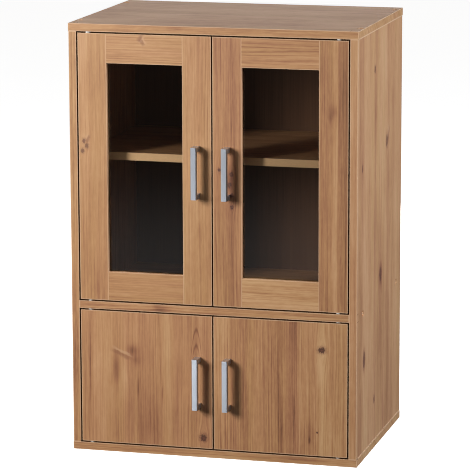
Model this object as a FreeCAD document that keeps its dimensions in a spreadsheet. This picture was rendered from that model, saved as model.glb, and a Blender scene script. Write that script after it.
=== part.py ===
import FreeCAD, Part
import os
import re

import Sketcher

# Pantry cabinet: a carcass of flat boards with two glazed doors above a fixed middle board
# and two solid doors below it. Every door turns on two vertical pins, one in each end of
# its outer edge. Millimetres, +Z up, +X to the cabinet's right seen from the front, front
# towards -Y. The origin is the middle of the face that stands on the floor.

DIMENSIONS = (
    # Carcass
    ("overall_width", 600, "top and bottom boards, side to side"),
    ("overall_depth", 420, "front edge to rear edge of the boards"),
    ("overall_height", 885, "floor to the top face"),
    ("board", 16, "thickness of every board and door"),
    ("side_overhang", 1, "top and bottom boards past the side boards"),
    ("middle_underside", 299, "floor to the underside of the middle board"),
    ("back_thickness", 3, "back panel"),
    ("back_inset", 10, "rear face of the back panel in from the rear edges"),
    ("groove_depth", 6, "groove that holds the back panel"),
    ("groove_play", 0.2, "free space on each side of the back panel in its groove"),
    # Shelf
    ("shelf_underside", 601, "floor to the underside of the shelf"),
    ("shelf_setback", 50, "shelf's front edge behind the front of the carcass"),
    ("shelf_play", 1, "free space at each end and behind the shelf"),
    ("shelf_pin_radius", 3.5, "part of the pin that the shelf lies on"),
    ("shelf_pin_reach", 9, "pin out of the side board"),
    ("shelf_pin_shank_radius", 2.5, "part of the pin in the side board"),
    ("shelf_pin_shank", 8, "pin in the side board"),
    ("shelf_pin_chamfer", 0.8, "free end of the pin"),
    ("shelf_pin_end_distance", 45, "pins in from the shelf's front and rear edges"),
    # Doors
    ("door_gap", 3, "gap round every door"),
    ("frame_width", 60, "width of the stiles and rails"),
    ("rabbet_width", 8, "rabbet for the glass, out from the opening"),
    ("rabbet_depth", 6, "rabbet for the glass, in from the back of the door"),
    ("glass_thickness", 3, "glass pane"),
    ("glass_play", 1, "free space round the glass in its rabbet"),
    ("bead_width", 7, "retaining bead, measured from the wall of the rabbet"),
    # Pivots
    ("pivot_inset", 20, "pivot axis in from the door's outer edge"),
    ("pivot_pin_radius", 2.5, "steel pivot pin"),
    ("pivot_pin_in_door", 20, "pin's length inside the door"),
    ("pivot_pin_in_board", 7, "pin's length inside the carcass board"),
    ("pivot_pin_chamfer", 0.5, "end of the pin in the bush"),
    ("running_clearance", 0.05, "radial clearance between pin and bush"),
    ("bush_radius", 3.5, "bush's sleeve, pressed in the board"),
    ("bush_length", 7.8, "bush's sleeve, in the board"),
    ("bush_flange_radius", 5.2, "bush's flange, in the door gap"),
    ("bush_flange_play", 0.2, "free space between flange and door"),
    # Carcass fasteners
    ("fastener_front", 55, "front screws behind the front of the carcass"),
    ("fastener_rear", 375, "rear screws behind the front of the carcass"),
    ("fit_play", 0.05, "radial play of pressed and screwed pieces in their bores"),
    ("screw_radius", 3.5, "carcass screw, thread"),
    ("screw_length", 46, "carcass screw, under the head"),
    ("screw_head_radius", 5, "carcass screw, head"),
    ("screw_head_height", 2, "carcass screw, head"),
    ("counterbore_radius", 6.5, "recess over a carcass screw"),
    ("counterbore_depth", 5, "recess over a carcass screw"),
    ("cap_radius", 6.3, "cap over a carcass screw"),
    ("cap_height", 1, "cap over a carcass screw"),
    ("dowel_radius", 4, "carcass dowel"),
    ("dowel_in_face", 11, "carcass dowel, in the face of a board"),
    ("dowel_in_edge", 19, "carcass dowel, in the edge of a board"),
    ("dowel_chamfer", 1, "ends of every dowel"),
    ("dowel_front", 125, "front dowels behind the front of the carcass"),
    ("dowel_rear", 305, "rear dowels behind the front of the carcass"),
    # Door frame dowels
    ("frame_dowel_radius", 3, "dowel between rail and stile"),
    ("frame_dowel_half", 15, "half the dowel's length"),
    ("frame_dowel_inner", 20, "dowel in from the rail's edge at the glass"),
    ("frame_dowel_outer", 15, "dowel in from the rail's outer edge"),
    # Handles
    ("handle_length", 106, "overall, top to bottom"),
    ("handle_pitch", 96, "between the two screws"),
    ("handle_width", 12, "bar, side to side"),
    ("handle_bar", 8, "bar, front to back"),
    ("handle_reach", 28, "out from the face of the door"),
    ("handle_leg", 10, "leg, top to bottom"),
    ("handle_rounding", 1.5, "rounding of the bar's front edges"),
    ("handle_screw_radius", 2, "screw through the door into the leg"),
    ("handle_screw_in_leg", 10, "screw's length in the leg"),
    ("handle_screw_head_radius", 4, "screw head at the back of the door"),
    ("handle_screw_head_height", 2.2, "screw head at the back of the door"),
    ("handle_screw_head_chamfer", 0.8, "rim of the screw head"),
    ("handle_centre", 30, "handle in from the door's free edge"),
    # Magnetic catches and strike plates
    ("catch_width", 64, "housing, side to side"),
    ("catch_depth", 16, "housing, front to back"),
    ("catch_height", 14, "housing, top to bottom"),
    ("catch_play", 0.4, "free space between magnet and strike plate"),
    ("magnet_width", 16, "magnet, side to side"),
    ("magnet_height", 8, "magnet, top to bottom"),
    ("magnet_depth", 9, "magnet, front to back"),
    ("magnet_offset", 15, "magnet's centre from the middle of the housing"),
    ("magnet_proud", 0.6, "magnet out of the housing's front"),
    ("catch_screw_offset", 27.5, "screws from the middle of the housing"),
    ("small_screw_radius", 1.6, "thread of the catch and strike screws"),
    ("small_head_radius", 3, "head of the catch and strike screws"),
    ("catch_screw_recess", 6, "recess for the head in the housing"),
    ("catch_screw_head_height", 1.8, "head of the catch screw"),
    ("catch_screw_in_board", 9, "catch screw in the board above"),
    ("strike_width", 18, "strike plate, side to side"),
    ("strike_height", 12, "strike plate, top to bottom"),
    ("strike_thickness", 1.5, "strike plate"),
    ("strike_drop", 6.5, "strike plate's middle below the door's top edge"),
    ("strike_screw_in_door", 10, "strike screw in the door"),
)

FRONT = "(-overall_depth / 2)"
REAR = "(overall_depth / 2)"
DOOR_BACK = f"({FRONT} + board)"
DOOR_MIDDLE = f"({FRONT} + board / 2)"
TOP_UNDERSIDE = "(overall_height - board)"
BOTTOM_FACE = "board"
MIDDLE_FACE = "(middle_underside + board)"
SIDE_OUTER = "(overall_width / 2 - side_overhang)"
SIDE_CENTRE = f"({SIDE_OUTER} - board / 2)"
SIDE_INNER = f"({SIDE_OUTER} - board)"
BACK_FRONT = f"({REAR} - back_inset - back_thickness)"
DOOR_OUTER = f"({SIDE_INNER} - door_gap)"
DOOR_INNER = "(door_gap / 2)"
PIVOT = f"({DOOR_OUTER} - pivot_inset)"
HANDLE_X = f"({DOOR_INNER} + handle_centre)"
MIDDLE_CENTRE = "(middle_underside + board / 2)"
SHELF_PIN_HEIGHT = "(shelf_underside - shelf_pin_radius)"
SCREW_IN_EDGE = "(screw_length - board + counterbore_depth + fit_play)"
CATCH_FRONT = f"({DOOR_BACK} + strike_thickness + catch_play + magnet_proud)"
CATCH_MIDDLE = f"({CATCH_FRONT} + catch_depth / 2)"
UPPER_DOOR = (f"({MIDDLE_FACE} + door_gap)", f"({TOP_UNDERSIDE} - door_gap)")
LOWER_DOOR = (f"({BOTTOM_FACE} + door_gap)", "(middle_underside - door_gap)")

SIDES = (("left", -1), ("right", 1))
SCREW_ROWS = (f"({FRONT} + fastener_front)", f"({FRONT} + fastener_rear)")
DOWEL_ROWS = (f"({FRONT} + dowel_front)", f"({FRONT} + dowel_rear)")
SHELF_PIN_ROWS = (
    f"({FRONT} + shelf_setback + shelf_pin_end_distance)",
    f"({BACK_FRONT} - shelf_play - shelf_pin_end_distance)",
)

OPPOSITE = {"+X": "-X", "-X": "+X", "+Z": "-Z", "-Z": "+Z"}

# Rotation that takes a piece made along +Z to the named direction
TURNS = {
    "+Z": FreeCAD.Rotation(),
    "-Z": FreeCAD.Rotation(FreeCAD.Vector(1, 0, 0), 180),
    "+X": FreeCAD.Rotation(FreeCAD.Vector(0, 1, 0), 90),
    "-X": FreeCAD.Rotation(FreeCAD.Vector(0, 1, 0), -90),
    "+Y": FreeCAD.Rotation(FreeCAD.Vector(1, 0, 0), -90),
    "-Y": FreeCAD.Rotation(FreeCAD.Vector(1, 0, 0), 90),
}

doc = FreeCAD.newDocument("PantryCabinet")
sheet = doc.addObject("Spreadsheet::Sheet", "Dimensions")
for row, (alias, value, meaning) in enumerate(DIMENSIONS, start=1):
    sheet.set(f"A{row}", meaning)
    sheet.set(f"B{row}", str(value))
    sheet.setAlias(f"B{row}", alias)
doc.recompute()

nodes = []


def bound(formula):
    """The formula with every name looked up in the sheet."""
    return re.sub(r"[a-z_]+", lambda name: f"{sheet.Name}.{name.group()}", str(formula))


def bind(item, **formulas):
    for name, formula in formulas.items():
        item.setExpression(name, bound(formula))


def place(item, corner, direction="+Z"):
    """Turn an item to a direction and bind its position to three formulas."""
    item.Placement = FreeCAD.Placement(FreeCAD.Vector(), TURNS[direction])
    for axis, formula in zip("xyz", corner):
        item.setExpression(f"Placement.Base.{axis}", bound(formula))


def unused_name(base):
    return base if doc.getObject(base) is None else f"{base}_{len(doc.Objects)}"


def node(label, item):
    """Register an item as one of the cabinet's sub-parts."""
    item.Label = label
    nodes.append(item)
    return item


def mirrored(sign, low, high):
    """Lower X limit of a span given for the right half, on the half that sign names."""
    return low if sign > 0 else f"(-{high})"


def on_side(sign, distance):
    return distance if sign > 0 else f"(-{distance})"


def box(name, low, size):
    """A block from its lowest corner and its three sizes, all formulas."""
    block = doc.addObject("Part::Box", unused_name(name))
    bind(block, Length=size[0], Width=size[1], Height=size[2])
    place(block, low)
    return block


def bore(radius, depth, start, direction):
    """A cylinder that cuts a round hole from start in the named direction."""
    cylinder = doc.addObject("Part::Cylinder", unused_name("Bore"))
    bind(cylinder, Radius=radius, Height=depth)
    place(cylinder, start, direction)
    return cylinder


def cut(blank, tools):
    """The blank less every tool."""
    joined = tools[0]
    if len(tools) > 1:
        joined = doc.addObject("Part::MultiFuse", unused_name(f"{blank.Name}_tools"))
        joined.Shapes = tools
    result = doc.addObject("Part::Cut", unused_name(f"{blank.Name}_cut"))
    result.Base = blank
    result.Tool = joined
    return result


def group(name, items):
    """Identical pieces as one node of separate solids."""
    compound = doc.addObject("Part::Compound", unused_name(name))
    compound.Links = items
    return compound


def outline(body, role, corners):
    """A closed outline of straight lines, every corner bound to the sheet."""
    plane = next(item for item in body.Origin.OriginFeatures if item.Role == role)
    sketch = body.newObject("Sketcher::SketchObject", unused_name(f"{body.Name}_sketch"))
    sketch.AttachmentSupport = [(plane, "")]
    sketch.MapMode = "FlatFace"
    points = []
    for across, up in corners:
        points.append(FreeCAD.Vector(number(across), number(up), 0))
    for index, point in enumerate(points):
        following = points[(index + 1) % len(points)]
        sketch.addGeometry(Part.LineSegment(point, following), False)
    for index in range(len(points)):
        following = (index + 1) % len(points)
        sketch.addConstraint(Sketcher.Constraint("Coincident", index, 2, following, 1))
    for index, (across, up) in enumerate(corners):
        hold_corner(sketch, index, "DistanceX", across, -2)
        hold_corner(sketch, index, "DistanceY", up, -1)
    return sketch


def hold_corner(sketch, index, kind, formula, axis):
    """Keep one corner on an axis, or at a bound distance from it."""
    if str(formula) == "0":
        sketch.addConstraint(Sketcher.Constraint("PointOnObject", index, 1, axis))
        return
    constraint = Sketcher.Constraint(kind, -1, 1, index, 1, number(formula))
    position = sketch.addConstraint(constraint)
    sketch.setExpression(f"Constraints[{position}]", bound(formula))


def number(formula):
    """Value of a formula, from the numbers in the sheet."""
    values = {alias: float(value) for alias, value, _ in DIMENSIONS}
    text = re.sub(r"[a-z_]+", lambda name: repr(values[name.group()]), str(formula))
    return FreeCAD.Units.Quantity(text).Value


def turned(name, profile, start, direction):
    """A round piece: half a profile of (radius, height) corners turned about its axis."""
    body = doc.addObject("PartDesign::Body", unused_name(name))
    sketch = outline(body, "XZ_Plane", profile)
    revolution = body.newObject("PartDesign::Revolution", unused_name(f"{name}_turned"))
    revolution.Profile = sketch
    revolution.ReferenceAxis = (sketch, ["V_Axis"])
    revolution.Angle = 360
    body.Tip = revolution
    place(body, start, direction)
    return body


def carcass_screw(start, direction):
    """Headed screw; its head stands on the floor of the recess, its thread beyond it."""
    profile = (
        (0, "-screw_head_height"),
        ("screw_head_radius", "-screw_head_height"),
        ("screw_head_radius", 0),
        ("screw_radius", 0),
        ("screw_radius", "screw_length - screw_radius / 2"),
        ("screw_radius / 2", "screw_length"),
        (0, "screw_length"),
    )
    return turned("Carcass_screw", profile, start, direction)


def screw_cap(start, direction):
    """Round cap with a chamfered rim, lying on the head of a carcass screw."""
    profile = (
        (0, 0),
        ("cap_radius", 0),
        ("cap_radius", "cap_height / 2"),
        ("cap_radius - cap_height / 2", "cap_height"),
        (0, "cap_height"),
    )
    return turned("Screw_cap", profile, start, direction)


def dowel(radius, behind, ahead, start, direction):
    """Fluteless dowel with chamfered ends, from behind its start to ahead of it."""
    chamfer = "dowel_chamfer"
    profile = (
        (0, f"-{behind}"),
        (f"{radius} - {chamfer}", f"-{behind}"),
        (radius, f"{chamfer} - {behind}"),
        (radius, f"{ahead} - {chamfer}"),
        (f"{radius} - {chamfer}", ahead),
        (0, ahead),
    )
    return turned("Dowel", profile, start, direction)


def screw_bores(start, direction):
    """Recess and clearance bore for a carcass screw through the board it enters."""
    return [
        bore("counterbore_radius", "counterbore_depth", start, direction),
        bore("screw_radius + fit_play", "board", start, direction),
    ]


def end_board_tools(face, inward):
    """What is cut out of the top or bottom board: face is its inner face's height."""
    outer = "overall_height" if inward == "-Z" else "0"
    outward = OPPOSITE[inward]
    groove_low = face if outward == "+Z" else f"({face} - groove_depth)"
    tools = [
        box(
            "Groove",
            (
                f"(-{SIDE_INNER} - groove_depth)",
                f"({BACK_FRONT} - groove_play)",
                groove_low,
            ),
            (
                f"(2 * ({SIDE_INNER} + groove_depth))",
                "(back_thickness + 2 * groove_play)",
                "groove_depth",
            ),
        )
    ]
    for _, sign in SIDES:
        side = on_side(sign, SIDE_CENTRE)
        pivot = (on_side(sign, PIVOT), DOOR_MIDDLE, face)
        for row in SCREW_ROWS:
            tools += screw_bores((side, row, outer), inward)
        for row in DOWEL_ROWS:
            start = (side, row, face)
            tools.append(bore("dowel_radius + fit_play", "dowel_in_face + fit_play", start, outward))
        tools.append(bore("bush_radius + fit_play", "bush_length + fit_play", pivot, outward))
    return tools


def catch_screw_bores(face):
    """Pilot bores for a catch's screws, up into the board above it."""
    tools = []
    for _, sign in SIDES:
        start = (on_side(sign, "catch_screw_offset"), CATCH_MIDDLE, face)
        depth = "catch_screw_in_board + fit_play"
        tools.append(bore("small_screw_radius + fit_play", depth, start, "+Z"))
    return tools


def make_top_board():
    blank = box(
        "Top_board",
        ("(-overall_width / 2)", FRONT, TOP_UNDERSIDE),
        ("overall_width", "overall_depth", "board"),
    )
    tools = end_board_tools(TOP_UNDERSIDE, "-Z") + catch_screw_bores(TOP_UNDERSIDE)
    node("top_board", cut(blank, tools))


def make_bottom_board():
    blank = box(
        "Bottom_board",
        ("(-overall_width / 2)", FRONT, "0"),
        ("overall_width", "overall_depth", "board"),
    )
    node("bottom_board", cut(blank, end_board_tools(BOTTOM_FACE, "+Z")))


def make_side_board(side, sign):
    outward = "+X" if sign > 0 else "-X"
    inward = OPPOSITE[outward]
    blank = box(
        "Side_board",
        (mirrored(sign, SIDE_INNER, SIDE_OUTER), FRONT, BOTTOM_FACE),
        ("board", "overall_depth", "(overall_height - 2 * board)"),
    )
    groove = box(
        "Groove",
        (
            mirrored(sign, SIDE_INNER, f"({SIDE_INNER} + groove_depth)"),
            f"({BACK_FRONT} - groove_play)",
            BOTTOM_FACE,
        ),
        (
            "groove_depth",
            "(back_thickness + 2 * groove_play)",
            "(overall_height - 2 * board)",
        ),
    )
    tools = [groove]
    for height, direction in ((TOP_UNDERSIDE, "-Z"), (BOTTOM_FACE, "+Z")):
        for row in SCREW_ROWS:
            start = (on_side(sign, SIDE_CENTRE), row, height)
            tools.append(bore("screw_radius + fit_play", SCREW_IN_EDGE, start, direction))
        for row in DOWEL_ROWS:
            start = (on_side(sign, SIDE_CENTRE), row, height)
            depth = "dowel_in_edge + fit_play"
            tools.append(bore("dowel_radius + fit_play", depth, start, direction))
    for row in SCREW_ROWS:
        tools += screw_bores((on_side(sign, SIDE_OUTER), row, MIDDLE_CENTRE), inward)
    for row in DOWEL_ROWS:
        start = (on_side(sign, SIDE_INNER), row, MIDDLE_CENTRE)
        tools.append(bore("dowel_radius + fit_play", "dowel_in_face + fit_play", start, outward))
    for row in SHELF_PIN_ROWS:
        start = (on_side(sign, SIDE_INNER), row, SHELF_PIN_HEIGHT)
        depth = "shelf_pin_shank + fit_play"
        tools.append(bore("shelf_pin_shank_radius + fit_play", depth, start, outward))
    node(f"{side}_side_board", cut(blank, tools))


def make_middle_board():
    blank = box(
        "Middle_board",
        (f"(-{SIDE_INNER})", FRONT, "middle_underside"),
        (f"(2 * {SIDE_INNER})", f"({BACK_FRONT} - {FRONT})", "board"),
    )
    tools = catch_screw_bores("middle_underside")
    for _, sign in SIDES:
        inward = "-X" if sign > 0 else "+X"
        for row in SCREW_ROWS:
            start = (on_side(sign, SIDE_INNER), row, MIDDLE_CENTRE)
            tools.append(bore("screw_radius + fit_play", SCREW_IN_EDGE, start, inward))
        for row in DOWEL_ROWS:
            start = (on_side(sign, SIDE_INNER), row, MIDDLE_CENTRE)
            depth = "dowel_in_edge + fit_play"
            tools.append(bore("dowel_radius + fit_play", depth, start, inward))
        pivot = (on_side(sign, PIVOT), DOOR_MIDDLE, "middle_underside")
        tools.append(bore("bush_radius + fit_play", "board", pivot, "+Z"))
    node("middle_board", cut(blank, tools))


def make_shelf():
    shelf = box(
        "Shelf",
        (f"(shelf_play - {SIDE_INNER})", f"({FRONT} + shelf_setback)", "shelf_underside"),
        (
            f"(2 * ({SIDE_INNER} - shelf_play))",
            f"({BACK_FRONT} - shelf_play - {FRONT} - shelf_setback)",
            "board",
        ),
    )
    node("shelf", shelf)


def make_back_panel():
    reach = "(groove_depth - groove_play)"
    panel = box(
        "Back_panel",
        (f"(-{SIDE_INNER} - {reach})", BACK_FRONT, f"({BOTTOM_FACE} - {reach})"),
        (
            f"(2 * ({SIDE_INNER} + {reach}))",
            "back_thickness",
            f"({TOP_UNDERSIDE} - {BOTTOM_FACE} + 2 * {reach})",
        ),
    )
    node("back_panel", panel)


def make_carcass_screws():
    """Screws and caps through the top, the bottom and the two sides, a group for each."""
    entries = {
        "top": [(on_side(sign, SIDE_CENTRE), "overall_height", "-Z") for _, sign in SIDES],
        "bottom": [(on_side(sign, SIDE_CENTRE), "0", "+Z") for _, sign in SIDES],
        "middle": [
            (f"(-{SIDE_OUTER})", MIDDLE_CENTRE, "+X"),
            (SIDE_OUTER, MIDDLE_CENTRE, "-X"),
        ],
    }
    for place_name, starts in entries.items():
        screws = []
        caps = []
        for across, height, direction in starts:
            for row in SCREW_ROWS:
                seat = sunk((across, row, height), direction, "counterbore_depth")
                screws.append(carcass_screw(seat, direction))
                rest = "(counterbore_depth - screw_head_height)"
                lid = sunk((across, row, height), direction, rest)
                caps.append(screw_cap(lid, OPPOSITE[direction]))
        node(f"{place_name}_screws", group(f"{place_name}_screws", screws))
        node(f"{place_name}_screw_caps", group(f"{place_name}_screw_caps", caps))


def sunk(start, direction, depth):
    """A point moved from start by depth in the named direction."""
    moved = list(start)
    axis = "XYZ".index(direction[1])
    moved[axis] = f"({start[axis]} {direction[0]} {depth})"
    return tuple(moved)


def make_carcass_dowels():
    dowels = []
    for _, sign in SIDES:
        side = on_side(sign, SIDE_CENTRE)
        inward = "-X" if sign > 0 else "+X"
        for row in DOWEL_ROWS:
            for start, direction in (
                ((side, row, TOP_UNDERSIDE), "-Z"),
                ((side, row, BOTTOM_FACE), "+Z"),
                ((on_side(sign, SIDE_INNER), row, MIDDLE_CENTRE), inward),
            ):
                dowels.append(
                    dowel("dowel_radius", "dowel_in_face", "dowel_in_edge", start, direction)
                )
    node("carcass_dowels", group("carcass_dowels", dowels))


def make_shelf_pins():
    profile = (
        (0, "-shelf_pin_shank"),
        ("shelf_pin_shank_radius", "-shelf_pin_shank"),
        ("shelf_pin_shank_radius", 0),
        ("shelf_pin_radius", 0),
        ("shelf_pin_radius", "shelf_pin_reach - shelf_pin_chamfer"),
        ("shelf_pin_radius - shelf_pin_chamfer", "shelf_pin_reach"),
        (0, "shelf_pin_reach"),
    )
    pins = []
    for _, sign in SIDES:
        inward = "-X" if sign > 0 else "+X"
        for row in SHELF_PIN_ROWS:
            start = (on_side(sign, SIDE_INNER), row, SHELF_PIN_HEIGHT)
            pins.append(turned("Shelf_pin", profile, start, inward))
    node("shelf_pins", group("shelf_pins", pins))


def make_pivot_bushes():
    """Flanged plastic bushes, their sleeves in the boards and their flanges in the gaps."""
    flange = "(door_gap - bush_flange_play)"
    inner = "(pivot_pin_radius + running_clearance)"
    profile = (
        (inner, "-bush_length"),
        ("bush_radius", "-bush_length"),
        ("bush_radius", 0),
        ("bush_flange_radius", 0),
        ("bush_flange_radius", flange),
        (inner, flange),
    )
    for name, face, direction in (
        ("top_board_bushes", TOP_UNDERSIDE, "-Z"),
        ("middle_board_upper_bushes", MIDDLE_FACE, "+Z"),
        ("middle_board_lower_bushes", "middle_underside", "-Z"),
        ("bottom_board_bushes", BOTTOM_FACE, "+Z"),
    ):
        bushes = []
        for _, sign in SIDES:
            start = (on_side(sign, PIVOT), DOOR_MIDDLE, face)
            bushes.append(turned("Pivot_bush", profile, start, direction))
        node(name, group(name, bushes))


def make_catch(level, face):
    """Double magnetic catch under a board: one housing, two magnets and two screws."""
    underside = f"({face} - catch_height)"
    blank = box(
        "Catch",
        ("(-catch_width / 2)", CATCH_FRONT, underside),
        ("catch_width", "catch_depth", "catch_height"),
    )
    tools = []
    magnets = []
    screws = []
    magnet_low = f"({underside} + (catch_height - magnet_height) / 2)"
    for _, sign in SIDES:
        centre = on_side(sign, "magnet_offset")
        low = (f"({centre} - magnet_width / 2)", f"({CATCH_FRONT} - magnet_proud)", magnet_low)
        size = ("magnet_width", "magnet_depth", "magnet_height")
        magnets.append(box("Magnet", low, size))
        tools.append(box("Magnet_pocket", low, size))
        head = (on_side(sign, "catch_screw_offset"), CATCH_MIDDLE, underside)
        tools.append(bore("small_head_radius + fit_play", "catch_screw_recess", head, "+Z"))
        tools.append(bore("small_screw_radius + fit_play", "catch_height", head, "+Z"))
        seat = sunk(head, "+Z", "catch_screw_recess")
        screws.append(catch_screw(seat))
    node(f"{level}_catch_housing", cut(blank, tools))
    node(f"{level}_catch_magnets", group(f"{level}_catch_magnets", magnets))
    return screws


def catch_screw(seat):
    through = "(catch_height - catch_screw_recess + catch_screw_in_board)"
    profile = (
        (0, "-catch_screw_head_height"),
        ("small_head_radius", "-catch_screw_head_height"),
        ("small_head_radius", 0),
        ("small_screw_radius", 0),
        ("small_screw_radius", f"{through} - small_screw_radius"),
        (0, through),
    )
    return turned("Catch_screw", profile, seat, "+Z")


def make_glazed_frame(door, sign, low, high):
    """Stiles, rails, glass and beads of an upper door between two heights."""
    opening_low = f"({low} + frame_width)"
    opening_high = f"({high} - frame_width)"
    opening_inner = f"({DOOR_INNER} + frame_width)"
    opening_outer = f"({DOOR_OUTER} - frame_width)"
    opening_width = f"({opening_outer} - {opening_inner})"
    opening_height = f"({opening_high} - {opening_low})"
    rabbet_back = f"({DOOR_BACK} - rabbet_depth)"
    rabbet_x = mirrored(
        sign, f"({opening_inner} - rabbet_width)", f"({opening_outer} + rabbet_width)"
    )
    rabbet = box(
        "Rabbet",
        (rabbet_x, rabbet_back, f"({opening_low} - rabbet_width)"),
        (
            f"({opening_width} + 2 * rabbet_width)",
            "rabbet_depth",
            f"({opening_height} + 2 * rabbet_width)",
        ),
    )
    stile_size = ("frame_width", "board", f"({high} - {low})")
    rail_size = (opening_width, "board", "frame_width")
    rail_x = mirrored(sign, opening_inner, opening_outer)
    hinge_stile = box("Stile", (mirrored(sign, opening_outer, DOOR_OUTER), FRONT, low), stile_size)
    lock_stile = box("Stile", (mirrored(sign, DOOR_INNER, opening_inner), FRONT, low), stile_size)
    top_rail = box("Rail", (rail_x, FRONT, opening_high), rail_size)
    bottom_rail = box("Rail", (rail_x, FRONT, low), rail_size)

    dowel_heights = {
        "bottom": (f"({low} + frame_dowel_outer)", f"({opening_low} - frame_dowel_inner)"),
        "top": (f"({opening_high} + frame_dowel_inner)", f"({high} - frame_dowel_outer)"),
    }
    dowels = []
    bores = {"hinge": [], "lock": [], "top": [], "bottom": []}
    outward = "+X" if sign > 0 else "-X"
    inward = OPPOSITE[outward]
    for rail, heights in dowel_heights.items():
        for height in heights:
            for stile, edge, into in (
                ("hinge", opening_outer, outward),
                ("lock", opening_inner, inward),
            ):
                start = (on_side(sign, edge), DOOR_MIDDLE, height)
                depth = "frame_dowel_half + fit_play"
                radius = "frame_dowel_radius + fit_play"
                bores[stile].append(bore(radius, depth, start, into))
                bores[rail].append(bore(radius, depth, start, OPPOSITE[into]))
                half = "frame_dowel_half"
                dowels.append(dowel("frame_dowel_radius", half, half, start, into))

    hinge_bores = bores["hinge"] + pivot_bores(sign, low, high)
    lock_bores = bores["lock"] + handle_bores(sign, low, high) + strike_bore(sign, high)
    node(f"{door}_hinge_stile", cut(hinge_stile, [rabbet] + hinge_bores))
    node(f"{door}_lock_stile", cut(lock_stile, [rabbet] + lock_bores))
    node(f"{door}_top_rail", cut(top_rail, [rabbet] + bores["top"]))
    node(f"{door}_bottom_rail", cut(bottom_rail, [rabbet] + bores["bottom"]))
    node(f"{door}_frame_dowels", group(f"{door}_frame_dowels", dowels))

    spare = "(rabbet_width - glass_play)"
    pane_x = mirrored(sign, f"({opening_inner} - {spare})", f"({opening_outer} + {spare})")
    pane = box(
        "Glass",
        (pane_x, rabbet_back, f"({opening_low} - {spare})"),
        (
            f"({opening_width} + 2 * {spare})",
            "glass_thickness",
            f"({opening_height} + 2 * {spare})",
        ),
    )
    node(f"{door}_glass", pane)
    make_beads(door, rabbet_x, rabbet_back, opening_low, opening_width, opening_height)


def make_beads(door, rabbet_x, rabbet_back, opening_low, opening_width, opening_height):
    """Four retaining beads round the back of the glass, square-cut at the corners."""
    bead_back = f"({rabbet_back} + glass_thickness)"
    bead_depth = "(rabbet_depth - glass_thickness)"
    rabbet_low = f"({opening_low} - rabbet_width)"
    width = f"({opening_width} + 2 * rabbet_width)"
    height = f"({opening_height} + 2 * rabbet_width)"
    upright = ("bead_width", bead_depth, height)
    level = (f"({width} - 2 * bead_width)", bead_depth, "bead_width")
    level_x = f"({rabbet_x} + bead_width)"
    beads = [
        box("Bead", (rabbet_x, bead_back, rabbet_low), upright),
        box("Bead", (f"({rabbet_x} + {width} - bead_width)", bead_back, rabbet_low), upright),
        box("Bead", (level_x, bead_back, rabbet_low), level),
        box("Bead", (level_x, bead_back, f"({rabbet_low} + {height} - bead_width)"), level),
    ]
    node(f"{door}_glass_beads", group(f"{door}_glass_beads", beads))


def make_solid_panel(door, sign, low, high):
    """The single board of a lower door between two heights."""
    blank = box(
        "Door_panel",
        (mirrored(sign, DOOR_INNER, DOOR_OUTER), FRONT, low),
        (f"({DOOR_OUTER} - {DOOR_INNER})", "board", f"({high} - {low})"),
    )
    tools = pivot_bores(sign, low, high) + handle_bores(sign, low, high) + strike_bore(sign, high)
    node(f"{door}_panel", cut(blank, tools))


def pivot_bores(sign, low, high):
    tools = []
    for height, direction in ((low, "+Z"), (high, "-Z")):
        start = (on_side(sign, PIVOT), DOOR_MIDDLE, height)
        depth = "pivot_pin_in_door + fit_play"
        tools.append(bore("pivot_pin_radius + fit_play", depth, start, direction))
    return tools


def handle_heights(low, high):
    centre = f"(({low} + {high}) / 2)"
    return (f"({centre} - handle_pitch / 2)", f"({centre} + handle_pitch / 2)")


def handle_bores(sign, low, high):
    tools = []
    for height in handle_heights(low, high):
        start = (on_side(sign, HANDLE_X), FRONT, height)
        tools.append(bore("handle_screw_radius + fit_play", "board", start, "+Y"))
    return tools


def strike_bore(sign, high):
    start = strike_centre(sign, high)
    depth = "strike_screw_in_door + fit_play"
    return [bore("small_screw_radius + fit_play", depth, start, "-Y")]


def strike_centre(sign, high):
    """Middle of a strike plate's mounting face, opposite the magnet."""
    across = on_side(sign, "magnet_offset")
    return (across, DOOR_BACK, f"({high} - strike_drop)")


def make_pivot_pins(door, sign, low, high):
    profile = (
        (0, "-pivot_pin_in_door"),
        ("pivot_pin_radius", "-pivot_pin_in_door"),
        ("pivot_pin_radius", "door_gap + pivot_pin_in_board - pivot_pin_chamfer"),
        ("pivot_pin_radius - pivot_pin_chamfer", "door_gap + pivot_pin_in_board"),
        (0, "door_gap + pivot_pin_in_board"),
    )
    pins = []
    for height, direction in ((low, "-Z"), (high, "+Z")):
        start = (on_side(sign, PIVOT), DOOR_MIDDLE, height)
        pins.append(turned("Pivot_pin", profile, start, direction))
    node(f"{door}_pivot_pins", group(f"{door}_pivot_pins", pins))


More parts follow.
